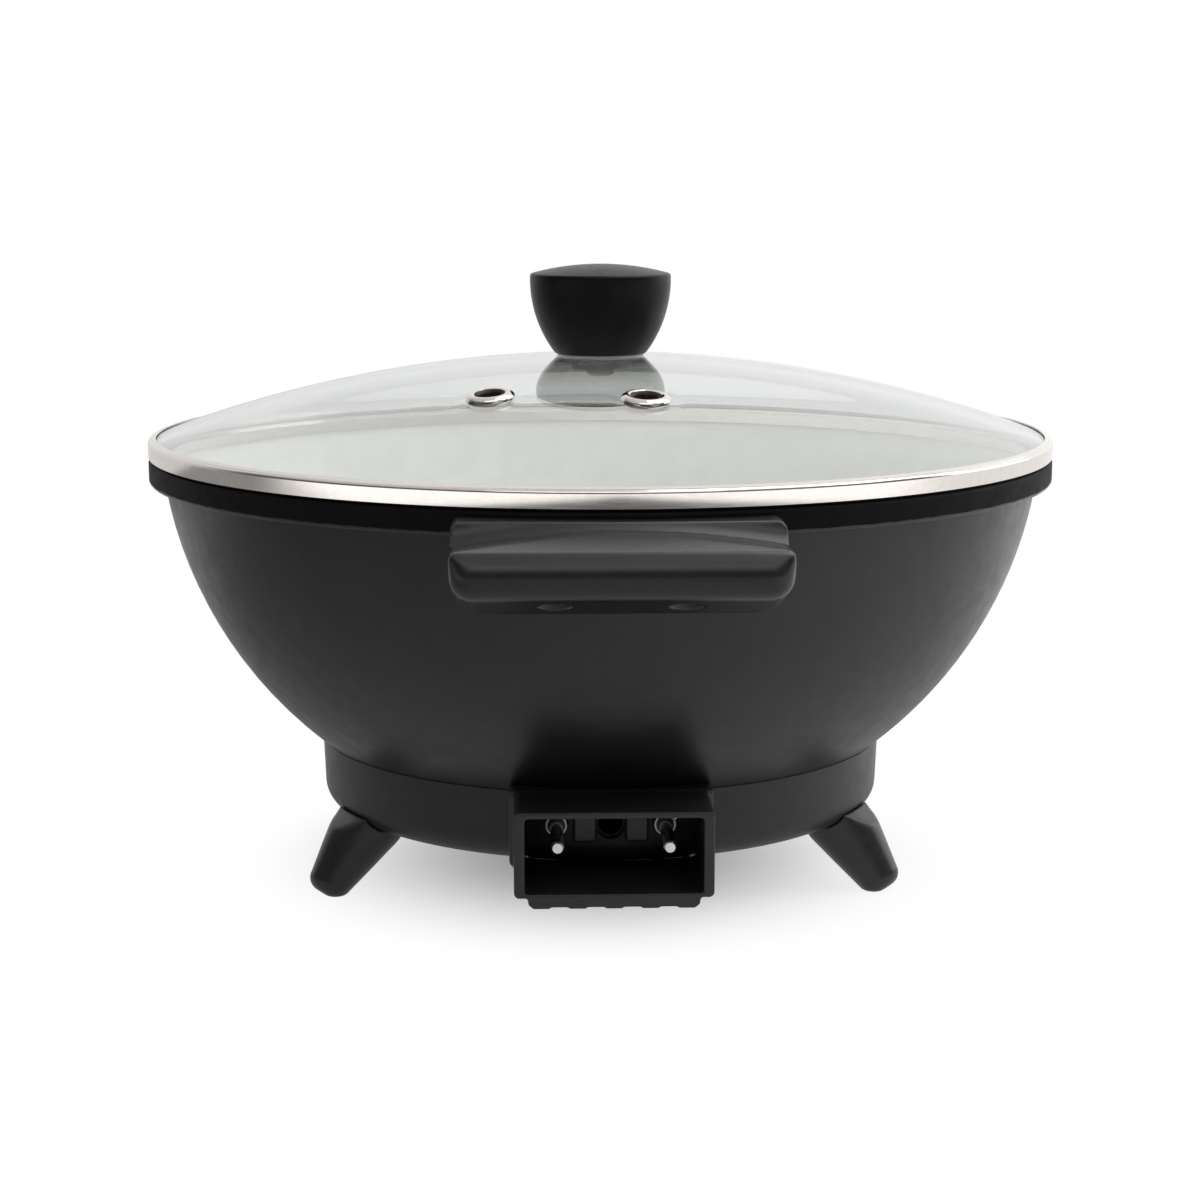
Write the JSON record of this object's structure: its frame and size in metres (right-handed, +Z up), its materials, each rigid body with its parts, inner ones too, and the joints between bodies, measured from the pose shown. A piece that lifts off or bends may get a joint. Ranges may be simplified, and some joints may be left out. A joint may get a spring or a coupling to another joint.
{
  "type": "electric skillet",
  "caption": "Deep round electric skillet with a lift-off domed glass lid, side handles, splayed feet and a front inlet for a plug-in heat control.",
  "frame": {"origin": "on the pan's axis, on the floor that the feet stand on", "axes": "+Z up along the pan's axis, -Y to the front, where the control inlet and the front handle are"},
  "size_m": [0.32, 0.392, 0.2154],
  "materials": {
    "pan_coat": "cast aluminium, satin charcoal enamel outside, pale grey satin coat on the cooking surface",
    "black_moulding": "black phenolic moulding, fine satin grain",
    "lid_tempered_glass": "clear tempered glass, faint green grey tint",
    "polished_steel": "mirror polished stainless steel",
    "plated_steel": "zinc plated steel",
    "heater_tube": "dull steel sheath",
    "bare_aluminium": "bare aluminium",
    "contact_plating": "bright nickel plating",
    "ceramic": "ivory ceramic",
    "insert_brass": "turned brass",
    "seal_silicone": "pale silicone"
  },
  "bodies": {
    "cooker": {"pan": "pan_coat", "base_skirt": "pan_coat", "bottom_cover": "plated_steel", "base_screws": "plated_steel", "heat_plate": "bare_aluminium", "heating_element": "heater_tube", "element_clamp": "plated_steel", "clamp_screw": "plated_steel", "terminal_beads": "ceramic", "terminal_pin_left": "contact_plating", "terminal_pin_right": "contact_plating", "probe_block": "bare_aluminium", "socket_shroud": "black_moulding", "socket_screws": "plated_steel", "front_handle_mount": "black_moulding", "front_handle_grip": "black_moulding", "front_handle_screws": "plated_steel", "rear_handle_mount": "black_moulding", "rear_handle_grip": "black_moulding", "rear_handle_screws": "plated_steel", "foot_front_left": "black_moulding", "foot_front_right": "black_moulding", "foot_rear": "black_moulding", "foot_screws": "plated_steel"},
    "lid": {"lid_glass": "lid_tempered_glass", "lid_band": "polished_steel", "vent_eyelet_left": "polished_steel", "vent_eyelet_right": "polished_steel", "lid_knob": "black_moulding", "knob_insert": "insert_brass", "knob_gasket": "seal_silicone", "knob_lower_gasket": "seal_silicone", "knob_washer": "plated_steel", "knob_screw": "plated_steel"}
  },
  "joints": [
    {"name": "lid_lift", "type": "slide", "parent": "cooker", "child": "lid", "axis": [0, 0, 1], "range_m": [0, 0.15]}
  ]
}
